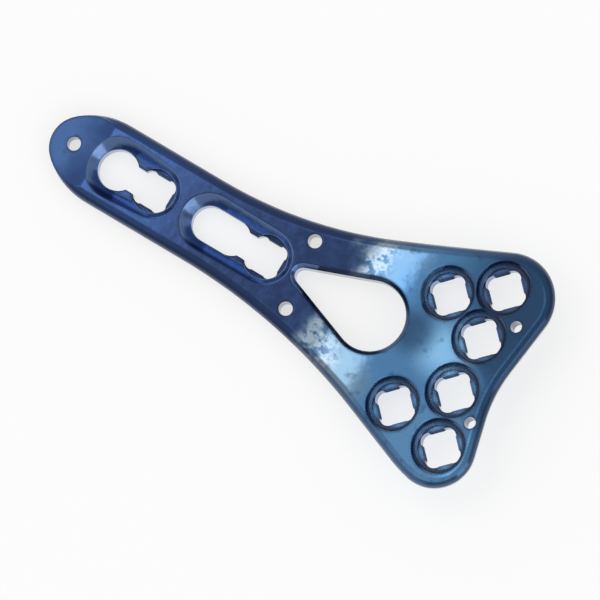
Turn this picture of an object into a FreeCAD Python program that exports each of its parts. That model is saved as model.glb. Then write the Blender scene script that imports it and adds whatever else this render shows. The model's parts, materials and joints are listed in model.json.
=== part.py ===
import FreeCAD, Part

import math
import os

import Sketcher

# A volar plate for the wrist end of the forearm: a narrow flat shaft that bends up into a wide head.
# +X runs from the shaft's nose to the head's far edge, +Z from the bone face to the outer face.
# The origin is under the middle of the plate's box, at the height of the shaft's bone face.
# Lengths are in millimetres and angles in degrees.

NODE = "volar_plate"

SIZES = [
    ("length", 45.0, "nose to far edge of the head, seen from above"),
    ("head_width", 21.0, "across the head"),
    ("shaft_width", 7.45, "across the shaft"),
    ("shaft_offset", 0.5, "shaft axis from the middle of the head, towards its lower side"),
    ("shaft_thickness", 2.4, "bone face to outer face along the shaft"),
    ("head_thickness", 2.0, "bone face to outer face over the head"),
    ("bend_start", 27.0, "nose to the start of the bend"),
    ("bend_radius", 22.0, "bone face round the bend"),
    ("head_tilt", 18.0, "slope of the head against the shaft"),
    ("nose_radius", 2.6, "tip of the nose, seen from above"),
    ("nose_length", 5.4, "nose to where the shaft has its full width"),
    ("nose_ramp", 4.6, "nose to where the shaft has its full thickness"),
    ("nose_thickness", 1.3, "thickness at the very tip"),
    ("upper_flare_angle", 23.0, "slope of the head's upper side"),
    ("upper_flare_radius", 38.0, "hollow between the shaft and the upper side"),
    ("upper_corner_radius", 4.0, "far upper corner of the head"),
    ("upper_corner_setback", 4.6, "far edge to the middle of that corner"),
    ("lower_flare_angle", 21.3, "slope of the head's lower side"),
    ("lower_flare_radius", 51.0, "hollow between the shaft and the lower side"),
    ("lower_corner_radius", 3.4, "far lower corner of the head"),
    ("lower_knee_radius", 13.0, "gentler round between the lower side and its corner"),
    ("lower_knee_setback", 4.1, "far edge to where that gentler round begins"),
    ("upper_edge_slant", 7.0, "far edge's slant below the upper corner"),
    ("lower_edge_slant", 14.5, "far edge's slant above the lower corner"),
    ("waist_radius", 12.0, "hollow in the middle of the far edge"),
    ("rim_bevel", 0.6, "bevel along the edge of the outer face"),
    ("rim_side_bevel", 0.22, "narrower bevels on both sides of that one"),
    ("bone_face_bevel", 0.25, "bevel along the edge of the bone face"),
    ("window_length", 10.3, "pear-shaped window, end to end"),
    ("window_radius", 3.0, "wide end of the window"),
    ("window_tip_radius", 0.7, "narrow end of the window"),
    ("window_setback", 13.9, "far edge to the middle of the wide end"),
    ("window_offset", 0.2, "window above the shaft axis"),
    ("window_bevel", 0.35, "bevel along the window's outer edge"),
    ("countersink_radius", 2.4, "mouth of a head hole"),
    ("countersink_foot_radius", 2.2, "foot of that mouth's cone"),
    ("countersink_depth", 0.36, "depth of that cone"),
    ("ledge_radius", 2.1, "narrow ledge under the cone"),
    ("ledge_depth", 0.72, "outer face to the ledge, along the hole's axis"),
    ("seat_radius", 1.9, "round wall under the ledge, which a screw head fills"),
    ("seat_depth", 1.12, "outer face to the top of the thread columns, along the axis"),
    ("shaft_seat_depth", 1.35, "the same along the shaft, where the seat lies below the sunk rim"),
    ("column_reach", 1.52, "hole axis to the face of a thread column"),
    ("column_gap_radius", 0.75, "round groove between two thread columns"),
    ("drill_tilt", 9.0, "lean of the head holes from the shaft's square direction"),
    ("head_column_turn", 45.0, "turn of the thread columns in the head"),
    ("shaft_column_turn", 0.0, "turn of the thread columns in the shaft"),
    ("upper_hole_setback", 5.3, "far edge to the upper corner hole"),
    ("upper_hole_margin", 3.4, "upper side to the upper corner hole"),
    ("upper_inner_back", 3.9, "upper corner hole to the upper inner hole, towards the shaft"),
    ("upper_inner_in", 2.6, "the same, towards the middle"),
    ("upper_middle_back", -0.3, "upper corner hole to the upper middle hole, towards the shaft"),
    ("upper_middle_in", 4.5, "the same, towards the middle"),
    ("lower_hole_setback", 3.2, "far edge to the lower corner hole"),
    ("lower_hole_margin", 3.6, "lower side to the lower corner hole"),
    ("lower_inner_back", 5.2, "lower corner hole to the lower inner hole, towards the shaft"),
    ("lower_inner_in", 1.15, "the same, towards the middle"),
    ("lower_middle_back", 1.4, "lower corner hole to the lower middle hole, towards the shaft"),
    ("lower_middle_in", 4.55, "the same, towards the middle"),
    ("first_lock", 9.95, "nose to the first shaft hole's threaded end"),
    ("first_slot_near", 3.5, "from there back to the near end of its plain slot"),
    ("first_slot_far", 3.5, "from there back to the far end of its plain slot"),
    ("first_slot_radius", 1.75, "plain end of the first shaft hole"),
    ("second_lock", 20.9, "nose to the second shaft hole's threaded end"),
    ("second_slot_near", 3.25, "from there back to the near end of its plain slot"),
    ("second_slot_far", 5.45, "from there back to the far end of its plain slot"),
    ("second_slot_radius", 1.55, "plain end of the second shaft hole"),
    ("neck_radius", 1.1, "half the width of the neck between the two ends"),
    ("dish_margin", 0.95, "sunk rim round a shaft hole"),
    ("dish_depth", 0.95, "depth of that sunk rim"),
    ("wire_radius", 0.6, "small holes for guide wires"),
    ("nose_wire", 2.1, "nose to the wire hole in it"),
    ("bend_wire_setback", 21.1, "far edge to the upper wire hole at the bend"),
    ("bend_wire_stagger", 0.8, "lower wire hole at the bend, further towards the far edge"),
    ("bend_wire_upper", 3.2, "shaft axis to the upper wire hole at the bend"),
    ("bend_wire_lower", 2.9, "shaft axis to the lower wire hole at the bend"),
    ("edge_wire_radius", 0.5, "small holes for guide wires by the far edge"),
    ("upper_edge_wire_setback", 2.7, "far edge to the upper of those holes"),
    ("upper_edge_wire_in", 2.27, "upper corner hole to that hole, towards the middle"),
    ("lower_edge_wire_setback", 1.9, "far edge to the lower of those holes"),
    ("lower_edge_wire_in", 2.95, "lower corner hole to that hole, towards the middle"),
]

doc = FreeCAD.newDocument(NODE)
sheet = doc.addObject("Spreadsheet::Sheet", "dims")
for row, (alias, number, note) in enumerate(SIZES, start=1):
    sheet.set(f"A{row}", alias)
    sheet.set(f"B{row}", str(number))
    sheet.set(f"C{row}", note)
    sheet.setAlias(f"B{row}", alias)
doc.recompute()


FLAT = 1e-4
UP = FreeCAD.Vector(0, 0, 1)


def value(formula):
    """The number that a formula over the sheet's cells gives."""
    return float(sheet.evalExpression(formula))


def size(alias):
    return value("dims." + alias)


body = doc.addObject("PartDesign::Body", "plate_body")
body.Label = NODE
body.Placement = FreeCAD.Placement()


def origin_plane(role):
    return next(item for item in body.Origin.OriginFeatures if item.Role == role)


class Drawing:
    """A sketch whose constraints are gathered while it is drawn, and set all at once by finish()."""

    def __init__(self, name, plane):
        self.sketch = body.newObject("Sketcher::SketchObject", name)
        self.sketch.AttachmentSupport = (plane, [""])
        self.sketch.MapMode = "FlatFace"
        self.constraints = []
        self.formulas = {}

    def line(self, start, end):
        return self.sketch.addGeometry(Part.LineSegment(start, end))

    def circle(self, centre, radius):
        return self.sketch.addGeometry(Part.Circle(centre, UP, radius))

    def arc(self, centre, radius, first_angle, last_angle):
        circle = Part.Circle(centre, UP, radius)
        return self.sketch.addGeometry(Part.ArcOfCircle(circle, first_angle, last_angle))

    def join(self, kind, *where):
        self.constraints.append(Sketcher.Constraint(kind, *where))

    def hold(self, name, formula, kind, *where):
        """Add a named dimension, bound to a formula over the sheet."""
        start = value(formula)
        if kind == "Angle":
            start = math.radians(start)
        self.formulas[name] = (len(self.constraints), formula)
        self.constraints.append(Sketcher.Constraint(kind, *where, start))

    def hold_x(self, name, formula, element, point):
        self.hold(name, formula, "DistanceX", -1, 1, element, point)

    def hold_y(self, name, formula, element, point):
        self.hold(name, formula, "DistanceY", -1, 1, element, point)

    def hold_point(self, name, x, y, element, point):
        self.hold_x(name + "_x", x, element, point)
        self.hold_y(name + "_y", y, element, point)

    def finish(self):
        self.sketch.addConstraint(self.constraints)
        for name, (index, formula) in self.formulas.items():
            self.sketch.renameConstraint(index, name)
            self.sketch.setExpression("Constraints." + name, formula)
        return self.sketch


# Outlines of tangent arcs and lines

class Round:
    """One arc of an outline that runs clockwise.

    Where reach is its radius, the outline bulges round it. Where reach is minus its radius, it hollows.
    """

    def __init__(self, name, x, y, reach):
        self.name = name
        self.centre = FreeCAD.Vector(x, y, 0)
        self.reach = reach


def tangent_normal(first, second):
    """Outward normal of the line that leaves one round and meets the next."""
    step = second.centre - first.centre
    slant = math.asin(max(-1.0, min(1.0, (second.reach - first.reach) / step.Length)))
    angle = math.atan2(step.y, step.x) + slant + math.pi / 2
    return FreeCAD.Vector(math.cos(angle), math.sin(angle), 0)


def draw_belt(drawing, rounds):
    """Draw the outline round a ring of rounds. Gives each round's arc and the line that follows it."""
    following = rounds[1:] + rounds[:1]
    normals = [tangent_normal(item, after) for item, after in zip(rounds, following)]
    arcs = {}
    arrivals = {}
    departures = {}
    for item, before, after in zip(rounds, normals[-1:] + normals[:-1], normals):
        near, far = before * item.reach, after * item.reach
        bulges = item.reach > 0
        first, last = (far, near) if bulges else (near, far)
        first_angle, last_angle = math.atan2(first.y, first.x), math.atan2(last.y, last.x)
        arcs[item.name] = drawing.arc(item.centre, abs(item.reach), first_angle, last_angle)
        arrivals[item.name], departures[item.name] = (2, 1) if bulges else (1, 2)
    lines = {}
    for item, normal, after in zip(rounds, normals, following):
        start = item.centre + normal * item.reach
        end = after.centre + normal * after.reach
        arc, departure = arcs[item.name], departures[item.name]
        next_arc, arrival = arcs[after.name], arrivals[after.name]
        if (end - start).Length < FLAT:
            drawing.join("Tangent", arc, departure, next_arc, arrival)
        else:
            lines[item.name] = drawing.line(start, end)
            drawing.join("Tangent", arc, departure, lines[item.name], 1)
            drawing.join("Tangent", lines[item.name], 2, next_arc, arrival)
    return arcs, lines


def draw_pill(drawing, name, ends):
    """Draw the outline round circles that are given by formulas for x, y and radius."""
    rounds = [
        Round(f"{name}_{i}", value(x), value(y), value(radius))
        for i, (x, y, radius) in enumerate(ends)
    ]
    arcs, _ = draw_belt(drawing, rounds)
    for item, (x, y, radius) in zip(rounds, ends):
        drawing.hold_point(item.name, x, y, arcs[item.name], 3)
        drawing.hold(item.name + "_radius", radius, "Radius", arcs[item.name])


def draw_circle(drawing, name, x, y, radius):
    circle = drawing.circle(FreeCAD.Vector(value(x), value(y), 0), value(radius))
    drawing.hold_point(name, x, y, circle, 3)
    drawing.hold(name + "_radius", radius, "Radius", circle)


# Cuts

def cut(drawing, name, depth=None, taper=None, both_ways=False):
    """Cut a drawing's outlines out of the plate, through it or to a depth."""
    before = body.Shape.Volume
    profile = drawing.finish()
    pocket = body.newObject("PartDesign::Pocket", name)
    pocket.Profile = profile
    pocket.Type = "Length" if depth else "ThroughAll"
    if depth:
        pocket.setExpression("Length", depth)
    if taper:
        pocket.setExpression("TaperAngle", taper)
    if both_ways:
        pocket.SideType = "Symmetric"
    doc.recompute()
    if body.Shape.Volume > before - FLAT:
        raise RuntimeError(name + " cuts nothing")


# Blank: the side profile across the whole width, trimmed to the outline seen from above

TRIM = 0.5
NOSE_X = "(-dims.length / 2)"
FAR_X = "(dims.length / 2)"
AXIS_Y = "(-dims.shaft_offset)"


def crossing(start, along, height):
    """Where a line from a point reaches a height."""
    return start + along * ((height - start.y) / along.y)


def draw_side_profile():
    """The plate from the side: the flat shaft, the bend and the sloping head."""
    drawing = Drawing("side_profile", origin_plane("XZ_Plane"))
    half, tilt = size("length") / 2, math.radians(size("head_tilt"))
    thickness = size("head_thickness")
    under_radius = size("bend_radius")
    over_radius = under_radius - thickness
    along = FreeCAD.Vector(math.cos(tilt), math.sin(tilt), 0)
    square = FreeCAD.Vector(-math.sin(tilt), math.cos(tilt), 0)

    back, front = -half - TRIM, half + TRIM
    low_back, high_back = FreeCAD.Vector(back, 0, 0), FreeCAD.Vector(back, size("shaft_thickness"), 0)
    bend = FreeCAD.Vector(size("bend_start") - half, 0, 0)
    under_centre = bend + FreeCAD.Vector(0, under_radius, 0)
    under_end = under_centre - square * under_radius
    under_front = under_end + along * ((front - under_end.x) / along.x)
    over_front = under_front + FreeCAD.Vector(0, thickness / along.x, 0)
    top = size("shaft_thickness")
    over_centre = crossing(under_end + square * (thickness + over_radius), along, top + over_radius)
    over_start = FreeCAD.Vector(over_centre.x, top, 0)
    over_end = over_centre - square * over_radius

    under = drawing.line(low_back, bend)
    under_arc = drawing.arc(under_centre, under_radius, -math.pi / 2, tilt - math.pi / 2)
    head_under = drawing.line(under_end, under_front)
    far = drawing.line(under_front, over_front)
    head_over = drawing.line(over_front, over_end)
    over_arc = drawing.arc(over_centre, over_radius, -math.pi / 2, tilt - math.pi / 2)
    shaft_over = drawing.line(over_start, high_back)
    near = drawing.line(high_back, low_back)

    drawing.join("Tangent", under, 2, under_arc, 1)
    drawing.join("Tangent", under_arc, 2, head_under, 1)
    drawing.join("Coincident", head_under, 2, far, 1)
    drawing.join("Coincident", far, 2, head_over, 1)
    drawing.join("Tangent", head_over, 2, over_arc, 2)
    drawing.join("Tangent", over_arc, 1, shaft_over, 1)
    drawing.join("Coincident", shaft_over, 2, near, 1)
    drawing.join("Coincident", near, 2, under, 1)
    drawing.join("PointOnObject", under, 1, -1)
    drawing.join("Horizontal", under)
    drawing.join("Horizontal", shaft_over)
    drawing.join("Vertical", far)
    drawing.join("Vertical", near)
    drawing.join("Parallel", head_under, head_over)
    drawing.hold_x("back", f"{NOSE_X} - {TRIM}", under, 1)
    drawing.hold_x("front", f"{FAR_X} + {TRIM}", head_under, 2)
    drawing.hold_x("bend_start", f"{NOSE_X} + dims.bend_start", under, 2)
    drawing.hold_y("shaft_thickness", "dims.shaft_thickness", shaft_over, 1)
    drawing.hold("head_thickness", "dims.head_thickness", "Distance", head_over, 1, head_under)
    drawing.hold("head_tilt", "dims.head_tilt", "Angle", head_under)
    drawing.hold("bend_radius", "dims.bend_radius", "Radius", under_arc)
    drawing.hold("over_radius", "dims.bend_radius - dims.head_thickness", "Radius", over_arc)
    return drawing


def flank(name, side, edge, nose):
    """Round that touches both the nose and a shaft edge, which lies a distance out on one side."""
    axis = nose.centre.y
    half = edge - side * axis
    end = size("nose_length") - size("length") / 2
    run = end - nose.centre.x
    radius = (run * run + half * half - nose.reach * nose.reach) / (2 * (half - nose.reach))
    return Round(name, end, axis + side * (half - radius), radius)


def flare(name, side, edge, corner, angle, radius):
    """Hollow round between a shaft edge and the straight side that touches a round of the head."""
    out = edge - side * corner.centre.y
    meet = corner.centre.x + (math.cos(angle) * out - corner.reach) / math.sin(angle)
    return Round(name, meet - radius * math.tan(angle / 2), side * (edge + radius), -radius)


def knee(lower):
    """Gentler round that touches the lower corner from outside its start."""
    radius = size("lower_knee_radius")
    start = size("length") / 2 - size("lower_knee_setback")
    lean = math.asin((lower.centre.x - start) / lower.reach)
    extra = radius - lower.reach
    x = lower.centre.x + extra * math.sin(lean)
    return Round("knee", x, lower.centre.y + extra * math.cos(lean), radius)


def waist(upper, lower):
    """Hollow round between the two slants of the far edge, which touch the head's corners."""
    above, below = math.radians(size("upper_edge_slant")), math.radians(size("lower_edge_slant"))
    first = math.cos(above) * upper.centre.x - math.sin(above) * upper.centre.y + upper.reach
    second = math.cos(below) * lower.centre.x + math.sin(below) * lower.centre.y + lower.reach
    turn = math.sin(above + below)
    meet_x = (first * math.sin(below) + second * math.sin(above)) / turn
    meet_y = (second * math.cos(above) - first * math.cos(below)) / turn
    radius = size("waist_radius")
    out = radius / math.cos((above + below) / 2)
    lean = (below - above) / 2
    return Round("waist", meet_x + out * math.cos(lean), meet_y + out * math.sin(lean), -radius)


def plan_rounds():
    """The rounds of the plate's outline from above, clockwise from the nose."""
    far, head = size("length") / 2, size("head_width") / 2
    axis, shaft = -size("shaft_offset"), size("shaft_width") / 2
    nose = Round("nose", size("nose_radius") - far, axis, size("nose_radius"))
    radius = size("upper_corner_radius")
    upper = Round("upper_corner", far - size("upper_corner_setback"), head - radius, radius)
    radius = size("lower_corner_radius")
    lower = Round("lower_corner", far - radius, radius - head, radius)
    gentle = knee(lower)
    upper_angle = math.radians(size("upper_flare_angle"))
    lower_angle = math.radians(size("lower_flare_angle"))
    return [
        nose,
        flank("upper_flank", 1, shaft + axis, nose),
        flare("upper_flare", 1, shaft + axis, upper, upper_angle, size("upper_flare_radius")),
        upper,
        waist(upper, lower),
        lower,
        gentle,
        flare("lower_flare", -1, shaft - axis, gentle, lower_angle, size("lower_flare_radius")),
        flank("lower_flank", -1, shaft - axis, nose),
    ]


def draw_frame(drawing):
    """A rectangle just outside the plate, so that what lies between the two is cut away."""
    right, top = f"({FAR_X} + {2 * TRIM})", f"(dims.head_width / 2 + {2 * TRIM})"
    x, y = value(right), value(top)
    corners = [FreeCAD.Vector(*spot, 0) for spot in ((-x, -y), (-x, y), (x, y), (x, -y))]
    sides = [drawing.line(start, end) for start, end in zip(corners, corners[1:] + corners[:1])]
    for side, after in zip(sides, sides[1:] + sides[:1]):
        drawing.join("Coincident", side, 2, after, 1)
    for level, pair in (("Vertical", sides[0::2]), ("Horizontal", sides[1::2])):
        for side in pair:
            drawing.join(level, side)
    drawing.hold_point("frame_low", f"-{right}", f"-{top}", sides[0], 1)
    drawing.hold_point("frame_high", right, top, sides[1], 2)


def draw_plan():
    """The plate seen from above, inside a frame that is cut away."""
    drawing = Drawing("plan", origin_plane("XY_Plane"))
    arcs, lines = draw_belt(drawing, plan_rounds())
    drawing.hold_point("nose", f"{NOSE_X} + dims.nose_radius", AXIS_Y, arcs["nose"], 3)
    drawing.hold("nose_radius", "dims.nose_radius", "Radius", arcs["nose"])
    edges = {"upper": lines["upper_flank"], "lower": lines["lower_flare"]}
    for side, sign in (("upper", ""), ("lower", "-")):
        drawing.hold_x(f"{side}_flank", f"{NOSE_X} + dims.nose_length", arcs[f"{side}_flank"], 3)
        drawing.join("Horizontal", edges[side])
        drawing.hold_y(f"{side}_edge", f"{sign}dims.shaft_width / 2 + {AXIS_Y}", edges[side], 1)
        drawing.hold(f"{side}_flare", f"dims.{side}_flare_radius", "Radius", arcs[f"{side}_flare"])
        drawing.hold(f"{side}_corner", f"dims.{side}_corner_radius", "Radius", arcs[f"{side}_corner"])
    drawing.hold_point(
        "upper_corner_middle",
        f"{FAR_X} - dims.upper_corner_setback",
        "dims.head_width / 2 - dims.upper_corner_radius",
        arcs["upper_corner"], 3,
    )
    drawing.hold_point(
        "lower_corner_middle",
        f"{FAR_X} - dims.lower_corner_radius",
        "dims.lower_corner_radius - dims.head_width / 2",
        arcs["lower_corner"], 3,
    )
    drawing.hold("upper_slope", "dims.upper_flare_angle", "Angle", lines["upper_flare"])
    drawing.hold("lower_slope", "180 - dims.lower_flare_angle", "Angle", lines["knee"])
    drawing.hold("knee_radius", "dims.lower_knee_radius", "Radius", arcs["knee"])
    drawing.hold_x("knee_start", f"{FAR_X} - dims.lower_knee_setback", arcs["knee"], 2)
    drawing.hold("waist_radius", "dims.waist_radius", "Radius", arcs["waist"])
    drawing.hold("upper_slant", "-90 - dims.upper_edge_slant", "Angle", lines["upper_corner"])
    drawing.hold("lower_slant", "dims.lower_edge_slant - 90", "Angle", lines["waist"])
    draw_frame(drawing)
    return drawing


blank = body.newObject("PartDesign::Pad", "blank")
blank.Profile = draw_side_profile().finish()
blank.SideType = "Symmetric"
blank.setExpression("Length", f"dims.head_width + {2 * TRIM}")
doc.recompute()
cut(draw_plan(), "trim_to_plan", both_ways=True)

# Bevelled edges: three narrow bevels in a row make the blunt rim of the outer face

def lift(face):
    """How far a face looks up: 0 for an upright one, below 0 for one that looks down."""
    low_u, high_u, low_v, high_v = face.ParameterRange
    return face.normalAt((low_u + high_u) / 2, (low_v + high_v) / 2).z


def edges_between(shape, first, second):
    """Names of the edges where one face's lift lies in the first range and the other's in the second."""
    names = []
    for number, edge in enumerate(shape.Edges, start=1):
        lifts = [lift(face) for face in shape.Faces if any(edge.isSame(item) for item in face.Edges)]
        for pair in (lifts, lifts[::-1]):
            if len(pair) == 2 and all(low < item < high for item, (low, high) in zip(pair, (first, second))):
                names.append(f"Edge{number}")
                break
    return names


def bevel(name, edges, formula):
    """Bevel some edges of the plate."""
    base = body.Tip
    chamfer = body.newObject("PartDesign::Chamfer", name)
    chamfer.Base = (base, edges)
    chamfer.setExpression("Size", formula)
    doc.recompute()


UPRIGHT = (-FLAT, FLAT)
SLANTED = (0.3, 0.88)
LOOKING_UP = (0.88, 1 + FLAT)
LOOKING_DOWN = (-1 - FLAT, -0.88)

rim = edges_between(body.Shape, UPRIGHT, LOOKING_UP)
bevel("outer_rim", rim, "dims.rim_bevel")
rim = edges_between(body.Shape, SLANTED, LOOKING_UP) + edges_between(body.Shape, SLANTED, UPRIGHT)
bevel("outer_rim_sides", rim, "dims.rim_side_bevel")
rim = edges_between(body.Shape, UPRIGHT, LOOKING_DOWN)
bevel("bone_face_rim", rim, "dims.bone_face_bevel")


# Facet that thins the nose towards its tip

def draw_nose_wedge():
    """What is cut off above the facet, seen from the side."""
    drawing = Drawing("nose_wedge", origin_plane("XZ_Plane"))
    tip_x, end_x = value(NOSE_X), value(f"{NOSE_X} + dims.nose_ramp")
    low, high = size("nose_thickness"), size("shaft_thickness")
    slope = (high - low) / (end_x - tip_x)
    back, over = tip_x - TRIM, high + TRIM
    corners = [
        FreeCAD.Vector(back, low - slope * TRIM, 0),
        FreeCAD.Vector(back, over, 0),
        FreeCAD.Vector(end_x + TRIM / slope, over, 0),
    ]
    near, lid, facet = (
        drawing.line(start, end) for start, end in zip(corners, corners[1:] + corners[:1])
    )
    drawing.join("Coincident", near, 2, lid, 1)
    drawing.join("Coincident", lid, 2, facet, 1)
    drawing.join("Coincident", facet, 2, near, 1)
    drawing.join("Vertical", near)
    drawing.join("Horizontal", lid)
    rise = "(dims.shaft_thickness - dims.nose_thickness) / dims.nose_ramp"
    drawing.hold_x("near", f"{NOSE_X} - {TRIM}", near, 1)
    drawing.hold_y("foot", f"dims.nose_thickness - {TRIM} * {rise}", near, 1)
    drawing.hold_y("lid", f"dims.shaft_thickness + {TRIM}", lid, 1)
    drawing.hold_x("top", f"{NOSE_X} + dims.nose_ramp + {TRIM} / ({rise})", lid, 2)
    return drawing


cut(draw_nose_wedge(), "nose_facet", both_ways=True)


# Pear-shaped window through the bend

WINDOW_X = f"({FAR_X} - dims.window_setback)"
WINDOW_TIP_X = f"({WINDOW_X} + dims.window_radius - dims.window_length + dims.window_tip_radius)"
WINDOW_Y = f"({AXIS_Y} + dims.window_offset)"

window = Drawing("window_outline", origin_plane("XY_Plane"))
draw_pill(window, "window", [
    (WINDOW_TIP_X, WINDOW_Y, "dims.window_tip_radius"),
    (WINDOW_X, WINDOW_Y, "dims.window_radius"),
])
cut(window, "window", both_ways=True)


def inside_window(edge):
    spot = edge.CenterOfMass
    reach = size("window_radius") + FLAT
    low, high = value(WINDOW_TIP_X) - reach, value(WINDOW_X) + reach
    return low < spot.x < high and abs(spot.y - value(WINDOW_Y)) < reach


window_edges = [
    name
    for name in edges_between(body.Shape, UPRIGHT, LOOKING_UP)
    if inside_window(body.Shape.getElement(name))
]
bevel("window_edge", window_edges, "dims.window_bevel")


# Planes to draw on: the flat of the shaft, and by the far edge the head's slope and one square to its drill

def new_plane(name, x, z, tilt):
    """A plane that leans back from level by an angle about Y. Its own X runs up the slope."""
    plane = body.newObject("PartDesign::Plane", name)
    plane.AttachmentSupport = (origin_plane("XY_Plane"), [""])
    plane.MapMode = "FlatFace"
    plane.AttachmentOffset = FreeCAD.Placement(
        FreeCAD.Vector(), FreeCAD.Rotation(FreeCAD.Vector(0, -1, 0), 1.0)
    )
    plane.setExpression("AttachmentOffset.Base.x", x)
    plane.setExpression("AttachmentOffset.Base.z", z)
    plane.setExpression("AttachmentOffset.Rotation.Angle", tilt)
    return plane


FACE_RISE = (
    "dims.bend_radius * (1 - cos(dims.head_tilt))"
    " + (dims.length - dims.bend_start - dims.bend_radius * sin(dims.head_tilt)) * tan(dims.head_tilt)"
    " + dims.head_thickness / cos(dims.head_tilt)"
)
shaft_face = new_plane("shaft_face", "0", "dims.shaft_thickness", "0")
head_face = new_plane("head_face", FAR_X, FACE_RISE, "dims.head_tilt")
drill_face = new_plane("drill_face", FAR_X, FACE_RISE, "dims.drill_tilt")
doc.recompute()

# Places of the holes, as formulas for X and Y on the plane where each is drawn

UPPER_CORNER_Y = "(dims.head_width / 2 - dims.upper_hole_margin)"
LOWER_CORNER_Y = "(dims.lower_hole_margin - dims.head_width / 2)"


def up_slope(setback):
    """X on the head's plane of a point that lies a setback from the far edge, seen from above."""
    return f"(-({setback}) / cos(dims.head_tilt))"


def across_drill(setback):
    """X of the same point on the plane that is square to the drill."""
    return f"({up_slope(setback)} * cos(dims.head_tilt - dims.drill_tilt))"


def down_drill(setback, depth):
    """Way along the drill from that plane to a depth under the outer face."""
    return f"{depth} + ({setback}) * sin(dims.head_tilt - dims.drill_tilt) / cos(dims.head_tilt)"


HEAD_HOLES = {
    "upper_corner": ("dims.upper_hole_setback", UPPER_CORNER_Y),
    "upper_inner": (
        "dims.upper_hole_setback + dims.upper_inner_back",
        f"{UPPER_CORNER_Y} - dims.upper_inner_in",
    ),
    "upper_middle": (
        "dims.upper_hole_setback + dims.upper_middle_back",
        f"{UPPER_CORNER_Y} - dims.upper_middle_in",
    ),
    "lower_corner": ("dims.lower_hole_setback", LOWER_CORNER_Y),
    "lower_inner": (
        "dims.lower_hole_setback + dims.lower_inner_back",
        f"{LOWER_CORNER_Y} + dims.lower_inner_in",
    ),
    "lower_middle": (
        "dims.lower_hole_setback + dims.lower_middle_back",
        f"{LOWER_CORNER_Y} + dims.lower_middle_in",
    ),
}
EDGE_WIRES = {
    "upper": ("dims.upper_edge_wire_setback", f"{UPPER_CORNER_Y} - dims.upper_edge_wire_in"),
    "lower": ("dims.lower_edge_wire_setback", f"{LOWER_CORNER_Y} + dims.lower_edge_wire_in"),
}
BEND_WIRE_X = f"{FAR_X} - dims.bend_wire_setback"
FLAT_WIRES = {
    "nose": (f"{NOSE_X} + dims.nose_wire", AXIS_Y),
    "upper_bend": (BEND_WIRE_X, f"{AXIS_Y} + dims.bend_wire_upper"),
    "lower_bend": (f"{BEND_WIRE_X} + dims.bend_wire_stagger", f"{AXIS_Y} - dims.bend_wire_lower"),
}


def draw_throat(drawing, name, x, y, turn):
    """The rounded square that four thread columns and the grooves between them leave open."""
    corner = "((dims.column_reach - dims.column_gap_radius) / cos(45))"
    grooves = []
    for quarter in range(4):
        angle = f"({turn} + {45 - 90 * quarter})"
        groove_x = f"({x}) + {corner} * cos{angle}"
        groove_y = f"({y}) + {corner} * sin{angle}"
        grooves.append((groove_x, groove_y, "dims.column_gap_radius"))
    draw_pill(drawing, name, grooves)


# Shaft holes: each has a threaded end, a plain slot, a neck between them and a sunk rim round them

def shaft_hole(name):
    """X of the threaded end and of the two ends of the slot, and the slot's radius."""
    lock = f"({NOSE_X} + dims.{name}_lock)"
    return {
        "lock": lock,
        "near": f"({lock} - dims.{name}_slot_near)",
        "far": f"({lock} - dims.{name}_slot_far)",
        "radius": f"dims.{name}_slot_radius",
    }


SHAFT_HOLES = {name: shaft_hole(name) for name in ("first", "second")}

dishes = Drawing("dish_outlines", shaft_face)
for name, hole in SHAFT_HOLES.items():
    draw_pill(dishes, name, [
        (hole["far"], AXIS_Y, f"{hole['radius']} + dims.dish_margin"),
        (hole["lock"], AXIS_Y, "dims.countersink_radius"),
    ])
cut(dishes, "dishes", depth="dims.dish_depth", taper="-atan(dims.dish_margin / dims.dish_depth)")

slots = Drawing("slot_outlines", shaft_face)
for name, hole in SHAFT_HOLES.items():
    if value(hole["near"]) - value(hole["far"]) > FLAT:
        draw_pill(slots, name, [(hole[end], AXIS_Y, hole["radius"]) for end in ("far", "near")])
    else:
        draw_circle(slots, name, hole["far"], AXIS_Y, hole["radius"])
cut(slots, "slots")

necks = Drawing("neck_outlines", shaft_face)
for name, hole in SHAFT_HOLES.items():
    draw_pill(necks, name, [(hole[end], AXIS_Y, "dims.neck_radius") for end in ("near", "lock")])
cut(necks, "necks")

shaft_seats = Drawing("shaft_seat_outlines", shaft_face)
shaft_throats = Drawing("shaft_throat_outlines", shaft_face)
for name, hole in SHAFT_HOLES.items():
    draw_circle(shaft_seats, name, hole["lock"], AXIS_Y, "dims.seat_radius")
    draw_throat(shaft_throats, name, hole["lock"], AXIS_Y, "dims.shaft_column_turn")
cut(shaft_seats, "shaft_seats", depth="dims.shaft_seat_depth")
cut(shaft_throats, "shaft_throats")

# Head holes: a cone square to the head, then a ledge, a seat and a throat along the drill's own lean

head_cones = Drawing("head_cone_outlines", head_face)
head_throats = Drawing("head_throat_outlines", drill_face)
for name, (setback, y) in HEAD_HOLES.items():
    draw_circle(head_cones, name, up_slope(setback), y, "dims.countersink_radius")
    draw_throat(head_throats, name, across_drill(setback), y, "dims.head_column_turn")
CONE_SLOPE = "-atan((dims.countersink_radius - dims.countersink_foot_radius) / dims.countersink_depth)"
cut(head_cones, "head_cones", depth="dims.countersink_depth", taper=CONE_SLOPE)
for name, (setback, y) in HEAD_HOLES.items():
    for step in ("ledge", "seat"):
        ring = Drawing(f"{name}_{step}_outline", drill_face)
        draw_circle(ring, name, across_drill(setback), y, f"dims.{step}_radius")
        cut(ring, f"{name}_{step}", depth=down_drill(setback, f"dims.{step}_depth"))
cut(head_throats, "head_throats")

# Guide wire holes

flat_wires = Drawing("flat_wire_outlines", origin_plane("XY_Plane"))
for name, (x, y) in FLAT_WIRES.items():
    draw_circle(flat_wires, name, x, y, "dims.wire_radius")
cut(flat_wires, "flat_wires", both_ways=True)

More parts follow.
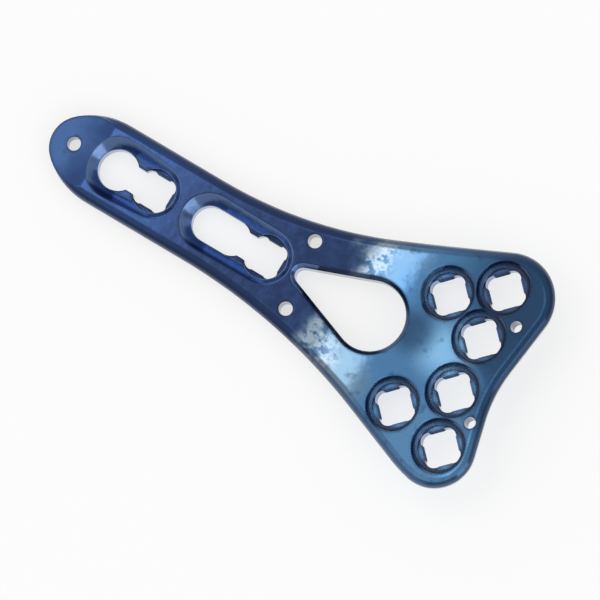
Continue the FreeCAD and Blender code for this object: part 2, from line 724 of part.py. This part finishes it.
edge_wires = Drawing("edge_wire_outlines", drill_face)
for name, (setback, y) in EDGE_WIRES.items():
    draw_circle(edge_wires, name, across_drill(setback), y, "dims.edge_wire_radius")
cut(edge_wires, "edge_wires")

# Checks and output

for item in doc.Objects:
    if {"Invalid", "Error"} & set(item.State):
        raise RuntimeError(f"{item.Label}: {item.State}")
shape = body.Shape
if shape.isNull() or not shape.isValid() or len(shape.Solids) != 1:
    raise RuntimeError(NODE + " is not one valid solid")
os.makedirs("parts", exist_ok=True)
shape.exportStep(os.path.join("parts", NODE + ".step"))
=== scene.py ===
import json
import math

import bpy
from mathutils import Matrix, Vector


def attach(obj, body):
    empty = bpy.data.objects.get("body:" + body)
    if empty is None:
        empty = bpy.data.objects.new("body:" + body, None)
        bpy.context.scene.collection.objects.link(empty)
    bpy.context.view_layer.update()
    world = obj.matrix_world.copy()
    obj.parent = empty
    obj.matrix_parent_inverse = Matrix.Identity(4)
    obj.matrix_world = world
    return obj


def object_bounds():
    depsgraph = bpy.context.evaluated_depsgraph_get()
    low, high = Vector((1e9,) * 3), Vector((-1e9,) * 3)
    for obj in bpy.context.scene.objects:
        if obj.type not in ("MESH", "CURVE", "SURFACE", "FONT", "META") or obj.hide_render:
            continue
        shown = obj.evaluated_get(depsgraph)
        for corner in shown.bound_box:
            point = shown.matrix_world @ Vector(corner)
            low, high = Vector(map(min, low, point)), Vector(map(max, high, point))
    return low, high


# Looks of a blue anodised wrist plate: the finish of the metal, the fine threads of its locking holes,
# and a pale studio table seen from above. Lengths are in metres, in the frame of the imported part.

MM = 0.001
BODY = "root"

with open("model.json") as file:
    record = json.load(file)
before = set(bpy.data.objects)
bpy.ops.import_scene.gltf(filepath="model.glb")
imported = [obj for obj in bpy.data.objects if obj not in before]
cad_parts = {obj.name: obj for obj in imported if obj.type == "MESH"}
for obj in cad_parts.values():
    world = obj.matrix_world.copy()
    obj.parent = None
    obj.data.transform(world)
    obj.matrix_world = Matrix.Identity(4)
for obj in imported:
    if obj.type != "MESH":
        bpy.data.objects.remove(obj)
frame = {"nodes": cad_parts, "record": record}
cad_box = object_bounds()


# Node helpers

def new_material(name):
    """An empty node material with its output node."""
    material = bpy.data.materials.new(name)
    material.use_nodes = True
    tree = material.node_tree
    tree.nodes.clear()
    output = tree.nodes.new("ShaderNodeOutputMaterial")
    return material, tree, output


def noise(tree, place, scale, detail=2.0, roughness=0.5):
    """Noise from 0 to 1 over a place, with features of about one over the scale in metres."""
    node = tree.nodes.new("ShaderNodeTexNoise")
    node.inputs["Scale"].default_value = scale
    node.inputs["Detail"].default_value = detail
    node.inputs["Roughness"].default_value = roughness
    tree.links.new(place, node.inputs["Vector"])
    return node.outputs["Fac"]


def math_node(tree, operation, first, second):
    """A sum, product or the like of two values, each a number or another node's output."""
    node = tree.nodes.new("ShaderNodeMath")
    node.operation = operation
    for socket, item in zip(node.inputs, (first, second)):
        if isinstance(item, (int, float)):
            socket.default_value = item
        else:
            tree.links.new(item, socket)
    return node.outputs["Value"]


def span(tree, source, low, high, to_low=0.0, to_high=1.0):
    """Map a range of a value smoothly to another range, held at both ends."""
    node = tree.nodes.new("ShaderNodeMapRange")
    node.interpolation_type = "SMOOTHSTEP"
    tree.links.new(source, node.inputs["Value"])
    for name, number in (("From Min", low), ("From Max", high), ("To Min", to_low), ("To Max", to_high)):
        node.inputs[name].default_value = number
    return node.outputs["Result"]


def blend(tree, share, first, second):
    """Mix of two colours, each three numbers or another node's output, by a node's output."""
    node = tree.nodes.new("ShaderNodeMix")
    node.data_type = "RGBA"
    tree.links.new(share, node.inputs[0])
    for socket, item in ((node.inputs[6], first), (node.inputs[7], second)):
        if isinstance(item, tuple):
            socket.default_value = (*item, 1.0)
        else:
            tree.links.new(item, socket)
    return node.outputs[2]


# Anodised titanium: a blue oxide film, deep on the shaft and paler on the head, over polished metal, with
# painted highlights and painted shade laid into the film; the head's paleness is partly painted reflection

# Painted shade on edges, steep faces and in hollows
PAINTED_SHADE_NAVY = (0.016, 0.032, 0.085)
NAVY = (0.024, 0.048, 0.135)
# Painted highlight lightening the shaft towards the nose
SHAFT_HIGHLIGHT_ROYAL = (0.034, 0.080, 0.235)
# Painted highlight on the nose
NOSE_HIGHLIGHT_BLUE = (0.085, 0.185, 0.450)
# Painted highlight on the walls of the openings
WALL_HIGHLIGHT_BLUE = (0.170, 0.280, 0.540)
# Painted shade behind the window, at the round corner and along the far edge
PAINTED_SHADE_TEAL = (0.022, 0.068, 0.155)
# Film of the head, its paleness partly painted reflection
STEEL_BLUE = (0.088, 0.245, 0.480)
# Painted highlight: the pale streak on the head
STREAK_HIGHLIGHT_BLUE = (0.300, 0.640, 1.000)
# Painted highlight at the long corner of the head
CORNER_HIGHLIGHT_STEEL = (0.120, 0.290, 0.530)
# Painted highlight over the bend
BEND_HIGHLIGHT_BLUE = (0.185, 0.295, 0.390)
# Painted highlight: the pale mottled patches at the bend
BAND_HIGHLIGHT_SILVER = (0.430, 0.520, 0.600)

CLOUD_SCALE = 260.0
SPOT_SCALE = 1000.0
WAVE_SCALE = 620.0
GRAIN_SCALE = 9000.0
DRIFT = 6.0 * MM
EDGE_SHADE_REACH = 0.7 * MM
SOFT_EDGE = 0.3 * MM
HOLLOW_SHADE_REACH = 1.2 * MM
WAVE_HEIGHT = 0.018 * MM
BEVEL_SAMPLES = 6
HOLLOW_SAMPLES = 8
EDGE_SHADE_SHARE = 0.85
STEEP_SHADE_SHARE = 0.75
WALL_HIGHLIGHT_SHARE = 0.75
COAT = 0.25
COAT_ROUGHNESS = 0.12

# Where the film and its painted highlights and shade change along the plate, which has its nose at -X:
# where each change starts and is complete
NOSE_BRIGHTENS = (-18.0 * MM, -21.5 * MM)
SHAFT_DARKENS = (-14.0 * MM, -6.0 * MM)
HEAD_STARTS = (4.2 * MM, 6.4 * MM)
BAND_STARTS = (4.6 * MM, 6.0 * MM)
BAND_ENDS = (6.6 * MM, 8.6 * MM)
BEND_ENDS = (8.6 * MM, 10.6 * MM)
FAR_EDGE_STARTS = (18.0 * MM, 20.2 * MM)

# Where the masks of the openings change, the hole walls in millimetres from the hole's axis
DISH_SIDE = (2.5 * MM, 2.8 * MM)
DISH_HEAD_END = (2.6 * MM, 2.9 * MM)
DISH_NOSE_END = (-19.6 * MM, -19.2 * MM)
HOLE_WALL = (1.9, 2.3)

# Where the other masks start and are full: upward part of a steep face's direction, turn of the direction
# at an edge, openness at which hollows turn from painted shade to their film, and levels of the spot noise
STEEP = (0.93, 0.75)
EDGE = (0.97, 0.80)
OPEN = (0.02, 0.35)
BAND_HIGHLIGHT_SPOTS = (0.42, 0.54)
DARK_SPOTS = (0.55, 0.72)
DARK_SPECKS = (0.46, 0.38)


def tint(tree, mask, share, under, colour):
    """Lay a colour over another one where a mask is, up to a share."""
    return blend(tree, math_node(tree, "MULTIPLY", mask, share), under, colour)


def near(tree, place, x, y, inner, outer):
    """1 within a distance of a point of the plate seen from above, fading to 0 at a larger one, in mm."""
    flat = tree.nodes.new("ShaderNodeVectorMath")
    flat.operation = "MULTIPLY"
    flat.inputs[1].default_value = (1.0, 1.0, 0.0)
    tree.links.new(place, flat.inputs[0])
    gap = tree.nodes.new("ShaderNodeVectorMath")
    gap.operation = "DISTANCE"
    gap.inputs[1].default_value = (x * MM, y * MM, 0.0)
    tree.links.new(flat.outputs["Vector"], gap.inputs[0])
    return span(tree, gap.outputs["Value"], inner * MM, outer * MM, to_low=1.0, to_high=0.0)


def slope_mask(tree):
    """1 on steep faces, such as the rims and the walls of the openings, and 0 on the broad faces."""
    slope = tree.nodes.new("ShaderNodeSeparateXYZ")
    tree.links.new(tree.nodes.new("ShaderNodeNewGeometry").outputs["True Normal"], slope.inputs["Vector"])
    upward = math_node(tree, "ABSOLUTE", slope.outputs["Z"], 0.0)
    return span(tree, upward, *STEEP)


def opening_mask(tree, place, axes):
    """1 over the dishes of the shaft and over the locking holes, seen from above, and 0 elsewhere."""
    along = axes.outputs["X"]
    aside = math_node(tree, "ABSOLUTE", axes.outputs["Y"], 0.0)
    inside = span(tree, aside, *DISH_SIDE, to_low=1.0, to_high=0.0)
    head_end = span(tree, along, *DISH_HEAD_END, to_low=1.0, to_high=0.0)
    inside = math_node(tree, "MULTIPLY", inside, head_end)
    inside = math_node(tree, "MULTIPLY", inside, span(tree, along, *DISH_NOSE_END))
    for mount in frame["record"]["mounts"]:
        if mount["kind"] == "threaded_hole":
            x, y, _ = mount["pos_m"]
            hole = near(tree, place, x / MM, y / MM, *HOLE_WALL)
            inside = math_node(tree, "MAXIMUM", inside, hole)
    return inside


def rounded_normal(tree, radius):
    """The surface's direction with its edges rounded by a radius."""
    rounded = tree.nodes.new("ShaderNodeBevel")
    rounded.samples = BEVEL_SAMPLES
    rounded.inputs["Radius"].default_value = radius
    return rounded.outputs["Normal"]


def edge_mask(tree, radius):
    """0 on open faces, rising to 1 towards their edges within a radius."""
    true_normal = tree.nodes.new("ShaderNodeNewGeometry").outputs["True Normal"]
    turn = tree.nodes.new("ShaderNodeVectorMath")
    turn.operation = "DOT_PRODUCT"
    tree.links.new(rounded_normal(tree, radius), turn.inputs[0])
    tree.links.new(true_normal, turn.inputs[1])
    return span(tree, turn.outputs["Value"], *EDGE)


def head_colour_with_painted_light(tree, place, along):
    """Colour from the bend to the far edge: a steel blue film, its paleness partly painted reflection, with
    painted highlights (a pale streak, the long corner, the bend) and painted shade (behind the window, the
    round corner, the far edge) laid over it in turn.
    """
    streak = near(tree, place, 15.6, 0.2, 0.4, 3.6)
    shade_behind_window = near(tree, place, 12.5, 0.3, 0.7, 2.8)
    shade_round_corner = near(tree, place, 20.6, 8.4, 3.0, 10.0)
    shade_far_edge = span(tree, along, *FAR_EDGE_STARTS)
    highlight_long_corner = near(tree, place, 18.6, -7.8, 2.4, 5.6)
    bend = span(tree, along, *BEND_ENDS, to_low=1.0, to_high=0.0)
    highlight_lower_bend = near(tree, place, 8.4, -6.2, 1.6, 4.2)
    film = STEEL_BLUE
    for mask, share, colour in (
        (streak, 1.0, STREAK_HIGHLIGHT_BLUE),
        (shade_behind_window, 0.75, PAINTED_SHADE_TEAL),
        (shade_round_corner, 1.0, PAINTED_SHADE_TEAL),
        (shade_far_edge, 0.9, PAINTED_SHADE_TEAL),
        (highlight_long_corner, 1.0, CORNER_HIGHLIGHT_STEEL),
        (bend, 0.45, BEND_HIGHLIGHT_BLUE),
        (highlight_lower_bend, 0.8, BEND_HIGHLIGHT_BLUE),
    ):
        film = tint(tree, mask, share, film, colour)
    return film


def anodised_titanium():
    """Polished metal under a blue film that changes along the plate, with painted highlights on the nose,
    bend, head and opening walls, and painted shade at edges, on steep faces and in hollows.
    """
    material, tree, output = new_material("anodised_titanium")
    link = tree.links.new
    shader = tree.nodes.new("ShaderNodeBsdfPrincipled")
    link(shader.outputs["BSDF"], output.inputs["Surface"])
    shader.inputs["Metallic"].default_value = 1.0
    place = tree.nodes.new("ShaderNodeTexCoord").outputs["Object"]
    axes = tree.nodes.new("ShaderNodeSeparateXYZ")
    link(place, axes.inputs["Vector"])

    cloud = noise(tree, place, CLOUD_SCALE, detail=3.0)
    spots = noise(tree, place, SPOT_SCALE, detail=3.0, roughness=0.6)
    drift = math_node(tree, "MULTIPLY", math_node(tree, "SUBTRACT", cloud, 0.5), DRIFT)
    along = math_node(tree, "ADD", axes.outputs["X"], drift)

    # Shaft with a painted highlight brightening it towards the nose, then the head, with a mottled painted
    # highlight in a band between them at the bend
    shaft = blend(tree, span(tree, along, *SHAFT_DARKENS, to_low=1.0, to_high=0.15), NAVY, SHAFT_HIGHLIGHT_ROYAL)
    shaft = blend(tree, span(tree, along, *NOSE_BRIGHTENS), shaft, NOSE_HIGHLIGHT_BLUE)
    head = head_colour_with_painted_light(tree, place, along)
    film = blend(tree, span(tree, along, *HEAD_STARTS), shaft, head)
    band_start = span(tree, along, *BAND_STARTS)
    band_end = span(tree, along, *BAND_ENDS)
    band = math_node(tree, "SUBTRACT", band_start, band_end)
    mottled = math_node(tree, "MULTIPLY", band, span(tree, spots, *BAND_HIGHLIGHT_SPOTS, to_high=0.75))
    film = blend(tree, mottled, film, BAND_HIGHLIGHT_SILVER)
    film = blend(tree, span(tree, spots, *DARK_SPOTS, to_high=0.45), film, NAVY)
    # Dark specks breaking up the painted highlight in the band
    specks = math_node(tree, "MULTIPLY", band, span(tree, spots, *DARK_SPECKS, to_high=0.6))
    film = blend(tree, specks, film, NAVY)

    # Painted shade on edges, rims and in hollows, and a painted highlight on the walls of the openings
    steep = slope_mask(tree)
    walls = math_node(tree, "MULTIPLY", steep, opening_mask(tree, place, axes))
    film = tint(tree, edge_mask(tree, EDGE_SHADE_REACH), EDGE_SHADE_SHARE, film, PAINTED_SHADE_NAVY)
    film = tint(tree, steep, STEEP_SHADE_SHARE, film, PAINTED_SHADE_NAVY)
    # Painted highlight on the walls of the dishes and locking holes
    film = tint(tree, walls, WALL_HIGHLIGHT_SHARE, film, WALL_HIGHLIGHT_BLUE)
    # Painted shade in the hollows, from ambient occlusion
    hollow_shade = tree.nodes.new("ShaderNodeAmbientOcclusion")
    hollow_shade.samples = HOLLOW_SAMPLES
    hollow_shade.inputs["Distance"].default_value = HOLLOW_SHADE_REACH
    film = blend(tree, span(tree, hollow_shade.outputs["AO"], *OPEN), PAINTED_SHADE_NAVY, film)
    link(film, shader.inputs["Base Color"])

    # Polish: a fine grain, duller spots, a thin clear layer and slight waves
    grain = noise(tree, place, GRAIN_SCALE)
    grain_dull = span(tree, grain, 0.3, 0.7, to_low=0.10, to_high=0.16)
    spot_dull = span(tree, spots, 0.4, 0.7, to_high=0.08)
    link(math_node(tree, "ADD", grain_dull, spot_dull), shader.inputs["Roughness"])
    shader.inputs["Coat Weight"].default_value = COAT
    shader.inputs["Coat Roughness"].default_value = COAT_ROUGHNESS
    waves = tree.nodes.new("ShaderNodeBump")
    waves.inputs["Strength"].default_value = 1.0
    waves.inputs["Distance"].default_value = WAVE_HEIGHT
    link(rounded_normal(tree, SOFT_EDGE), waves.inputs["Normal"])
    link(noise(tree, place, WAVE_SCALE), waves.inputs["Height"])
    link(waves.outputs["Normal"], shader.inputs["Normal"])
    return material


titanium = anodised_titanium()
plate = frame["nodes"]["volar_plate"]
plate.data.materials.clear()
plate.data.materials.append(titanium)


# Fine thread: low ridges across the flat faces of the four columns in each locking hole

COLUMN_REACH = 1.52 * MM
COLUMN_HALF = 0.72 * MM
RIDGE_OUT = 0.09 * MM
RIDGE_HALF = 0.075 * MM
RIDGE_SINK = 0.02 * MM
RUN_OUT = 0.14 * MM
PITCH = 0.22 * MM
RIDGE_CLIMB = PITCH / 7
CLEAR = 0.03 * MM
PROBE_REACH = 3 * MM
PROBE_STEP = 0.01 * MM
SHAFT_COLUMN_TURN = 0
HEAD_COLUMN_TURN = 45
ASIDE = Vector((0, 1, 0))


def column_span(start, out, aside, down):
    """How far along the hole a thread column runs, from where its top is met to its lower end."""
    tops, ends = [], []
    for share in (-1, 0, 1):
        inside = start + out * (COLUMN_REACH + RIDGE_SINK) + aside * (COLUMN_HALF * share)
        hit, top, _, _ = plate.ray_cast(inside, down, distance=PROBE_REACH)
        if not hit:
            return None
        hit, end, _, _ = plate.ray_cast(top + down * PROBE_STEP, down, distance=PROBE_REACH)
        if not hit:
            return None
        tops.append((top - start).dot(down))
        ends.append((end - start).dot(down))
    return max(tops), min(ends)


def ridge(corners, faces, middle, out, aside, down):
    """Add a three-sided ridge across a column's face, narrower at its crest, that climbs a little."""
    first = len(corners)
    for side in (-1, 1):
        foot = middle + aside * (COLUMN_HALF * side) + out * (COLUMN_REACH + RIDGE_SINK)
        crest = middle + aside * ((COLUMN_HALF - RUN_OUT) * side) + out * (COLUMN_REACH - RIDGE_OUT)
        climb = down * (RIDGE_CLIMB * side / 2)
        half = down * RIDGE_HALF
        corners.extend([foot + climb - half, foot + climb + half, crest + climb])
    a, b, c, d, e, f = range(first, first + 6)
    faces.extend([(c, b, a), (e, f, d), (d, f, c, a), (f, e, b, c), (e, d, a, b)])


def add_thread(mount, turn):
    """All the ridges of one locking hole, as one piece."""
    up_axis = Vector(mount["axis"]).normalized()
    down = -up_axis
    start = Vector(mount["pos_m"])
    cross = ASIDE.cross(up_axis).normalized()
    corners, faces = [], []
    for quarter in range(4):
        angle = math.radians(turn + 90 * quarter)
        out = cross * math.cos(angle) + ASIDE * math.sin(angle)
        aside = up_axis.cross(out)
        reached = column_span(start, out, aside, down)
        if reached is None:
            continue
        depth = reached[0] + RIDGE_HALF + CLEAR + PITCH * quarter / 4
        while depth + RIDGE_HALF + CLEAR < reached[1]:
            ridge(corners, faces, start + down * depth, out, aside, down)
            depth += PITCH
    mesh = bpy.data.meshes.new(mount["name"] + "_thread")
    mesh.from_pydata(corners, [], faces)
    mesh.materials.append(titanium)
    piece = bpy.data.objects.new(mount["name"] + "_thread", mesh)
    bpy.context.scene.collection.objects.link(piece)
    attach(piece, BODY)


for mount in frame["record"]["mounts"]:
    if mount["kind"] == "threaded_hole":
        on_shaft = mount["name"].endswith("_lock")
        add_thread(mount, SHAFT_COLUMN_TURN if on_shaft else HEAD_COLUMN_TURN)


# Table and background

TABLE_WHITE = (0.86, 0.86, 0.86)
TABLE_SHADE = (0.34, 0.34, 0.34)
TABLE_GLOW = 0.70
TABLE_HALF = 1.5
TABLE_GAP = 0.02 * MM


def table_top():
    """Matt white, with paler shadows where the camera or the metal's reflections show it."""
    material, tree, output = new_material("white_table")
    link = tree.links.new
    path = tree.nodes.new("ShaderNodeLightPath")
    seen = math_node(tree, "MAXIMUM", path.outputs["Is Camera Ray"], path.outputs["Is Glossy Ray"])
    seen = math_node(tree, "MAXIMUM", seen, path.outputs["Is Transmission Ray"])
    colour = blend(tree, seen, TABLE_WHITE, TABLE_SHADE)
    diffuse = tree.nodes.new("ShaderNodeBsdfDiffuse")
    link(colour, diffuse.inputs["Color"])
    glow = tree.nodes.new("ShaderNodeEmission")
    link(math_node(tree, "MULTIPLY", seen, TABLE_GLOW), glow.inputs["Strength"])
    both = tree.nodes.new("ShaderNodeAddShader")
    link(diffuse.outputs["BSDF"], both.inputs[0])
    link(glow.outputs["Emission"], both.inputs[1])
    link(both.outputs["Shader"], output.inputs["Surface"])
    return material


table_height = cad_box[0][2] - TABLE_GAP
bpy.ops.mesh.primitive_plane_add(size=2 * TABLE_HALF, location=(0, 0, table_height))
table = bpy.context.object
table.name = "table"
table.data.materials.append(table_top())


# Camera: looks down on the plate from a little towards the head, with the head to the lower right

CAMERA_OFFSET = Vector((52.0, -23.7, 450.0)) * MM
AXIS_ANGLE = math.radians(31.0)
FRAMED = 50.0 * MM
AIM_ASIDE = 1.4 * MM
AIM_UP = -3.4 * MM
SENSOR = 36.0
NEAREST_SEEN = 0.01

centre = (Vector(cad_box[0]) + Vector(cad_box[1])) / 2
camera = bpy.data.objects.new("camera", bpy.data.cameras.new("camera"))
bpy.context.scene.collection.objects.link(camera)
back = CAMERA_OFFSET.normalized()
up = Vector((-math.sin(AXIS_ANGLE), math.cos(AXIS_ANGLE), 0))
right = up.cross(back).normalized()
up = back.cross(right)
turn = Matrix((right, up, back)).transposed().to_4x4()
aim = centre + right * AIM_ASIDE + up * AIM_UP
camera.matrix_world = Matrix.Translation(aim + CAMERA_OFFSET) @ turn
camera.data.sensor_width = SENSOR
camera.data.lens = SENSOR * CAMERA_OFFSET.length / FRAMED
camera.data.clip_start = NEAREST_SEEN
bpy.context.scene.camera = camera


# Light

LAMP_DISTANCE = 0.8


def softbox(name, towards, width, height, radiance):
    """An area lamp that faces the plate, as bright to look at as a white of that radiance."""
    lamp = bpy.data.lights.new(name, "AREA")
    lamp.shape = "RECTANGLE"
    lamp.size = width
    lamp.size_y = height
    lamp.energy = radiance * width * height * math.pi
    item = bpy.data.objects.new(name, lamp)
    bpy.context.scene.collection.objects.link(item)
    direction = Vector(towards).normalized()
    item.location = centre + direction * LAMP_DISTANCE
    item.rotation_euler = direction.to_track_quat("Z", "Y").to_euler()


def from_zenith(angle, bearing):
    """Direction at an angle from straight up, towards a bearing that is counted from +X to +Y."""
    lean, turned = math.radians(angle), math.radians(bearing)
    return math.sin(lean) * math.cos(turned), math.sin(lean) * math.sin(turned), math.cos(lean)


def light_room():
    """A white room, a little brighter overhead and on the side of the nose."""
    world = bpy.data.worlds.new("studio")
    bpy.context.scene.world = world
    world.use_nodes = True
    sky = world.node_tree
    towards = sky.nodes.new("ShaderNodeSeparateXYZ")
    sky.links.new(sky.nodes.new("ShaderNodeTexCoord").outputs["Generated"], towards.inputs["Vector"])
    overhead = span(sky, towards.outputs["Z"], 0.0, 0.8, to_low=0.55, to_high=0.62)
    nose_side = span(sky, towards.outputs["X"], -0.2, -0.9, to_high=0.2)
    background = sky.nodes["Background"]
    background.inputs["Color"].default_value = (1, 1, 1, 1)
    sky.links.new(math_node(sky, "ADD", overhead, nose_side), background.inputs["Strength"])


softbox("window_light", from_zenith(20.0, 176), width=0.60, height=0.31, radiance=1.5)
softbox("side_light", from_zenith(64, -12), width=0.50, height=0.50, radiance=1.3)
light_room()
bpy.context.scene.view_settings.view_transform = "Standard"
